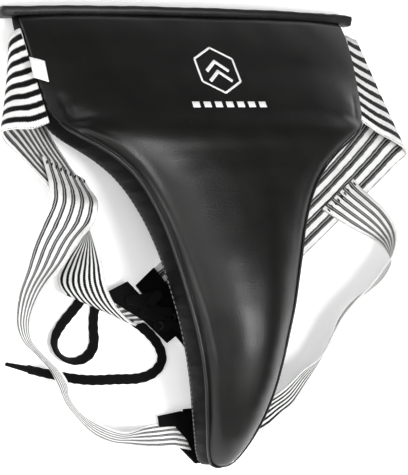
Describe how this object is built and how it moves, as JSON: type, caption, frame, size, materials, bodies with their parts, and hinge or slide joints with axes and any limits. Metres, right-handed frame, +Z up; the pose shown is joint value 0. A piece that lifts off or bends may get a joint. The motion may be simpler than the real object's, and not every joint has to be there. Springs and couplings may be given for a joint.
{
  "type": "groin protector",
  "caption": "Padded black groin protector with a rigid cup, striped elastic waistband and leg straps, and a lace-up closure.",
  "frame": {"origin": "middle of the footprint of guard and straps, on the table", "axes": "+X across the guard to its right side as seen from the front, +Y towards the waist edge, +Z up through the front face"},
  "size_m": [0.3604, 0.3385, 0.098],
  "materials": {
    "coated_leather": "soft sheen, fine grain",
    "binding_tape": "soft sheen",
    "foam": "open cell",
    "lining_cloth": "matt knit",
    "cup_plastic": "moulded",
    "print_ink": "screen print",
    "label_satin": "satin",
    "black_facing": "matt",
    "eyelet_metal": "blackened",
    "lace_braid": "braided",
    "aglet_plastic": "heat shrunk",
    "elastic_webbing": "woven with dark stripes"
  },
  "bodies": {
    "shield": {"front_cover": "coated_leather", "gusset_left": "coated_leather", "gusset_right": "coated_leather", "piping_left": "coated_leather", "piping_right": "coated_leather", "top_binding": "binding_tape", "upper_foam_pad": "foam", "cup_foam_pad": "foam", "rim_cushion_left": "foam", "rim_cushion_right": "foam", "upper_lining": "lining_cloth", "cup_lining": "lining_cloth", "cup_shell": "cup_plastic", "emblem_print": "print_ink", "strap_facing_left": "black_facing", "strap_facing_right": "black_facing", "bottom_tab": "black_facing"},
    "left_band": {"waistband_left": "elastic_webbing", "end_piece_left": "black_facing", "eyelets_left": "eyelet_metal", "leg_strap_left": "elastic_webbing", "lace_loop": "lace_braid", "lace_tail": "lace_braid", "lace_aglet": "aglet_plastic"},
    "right_band": {"waistband_right": "elastic_webbing", "end_piece_right": "black_facing", "eyelets_right": "eyelet_metal", "leg_strap_right": "elastic_webbing"},
    "label": {"care_label": "label_satin"}
  },
  "joints": [
    {"name": "left_band_swing", "type": "hinge", "parent": "shield", "child": "left_band", "pos_m": [-0.1488, 0.1158, 0.0345], "axis": [-0.1023, 0.9326, -0.346], "range_deg": [0, 50]},
    {"name": "right_band_swing", "type": "hinge", "parent": "shield", "child": "right_band", "pos_m": [0.116, 0.1158, 0.0345], "axis": [-0.1023, -0.9326, 0.346], "range_deg": [0, 50]},
    {"name": "care_label_flip", "type": "hinge", "parent": "shield", "child": "label", "pos_m": [-0.1524, 0.1218, 0.0415], "axis": [-0.2592, -0.8639, -0.4319], "range_deg": [0, 50]}
  ]
}
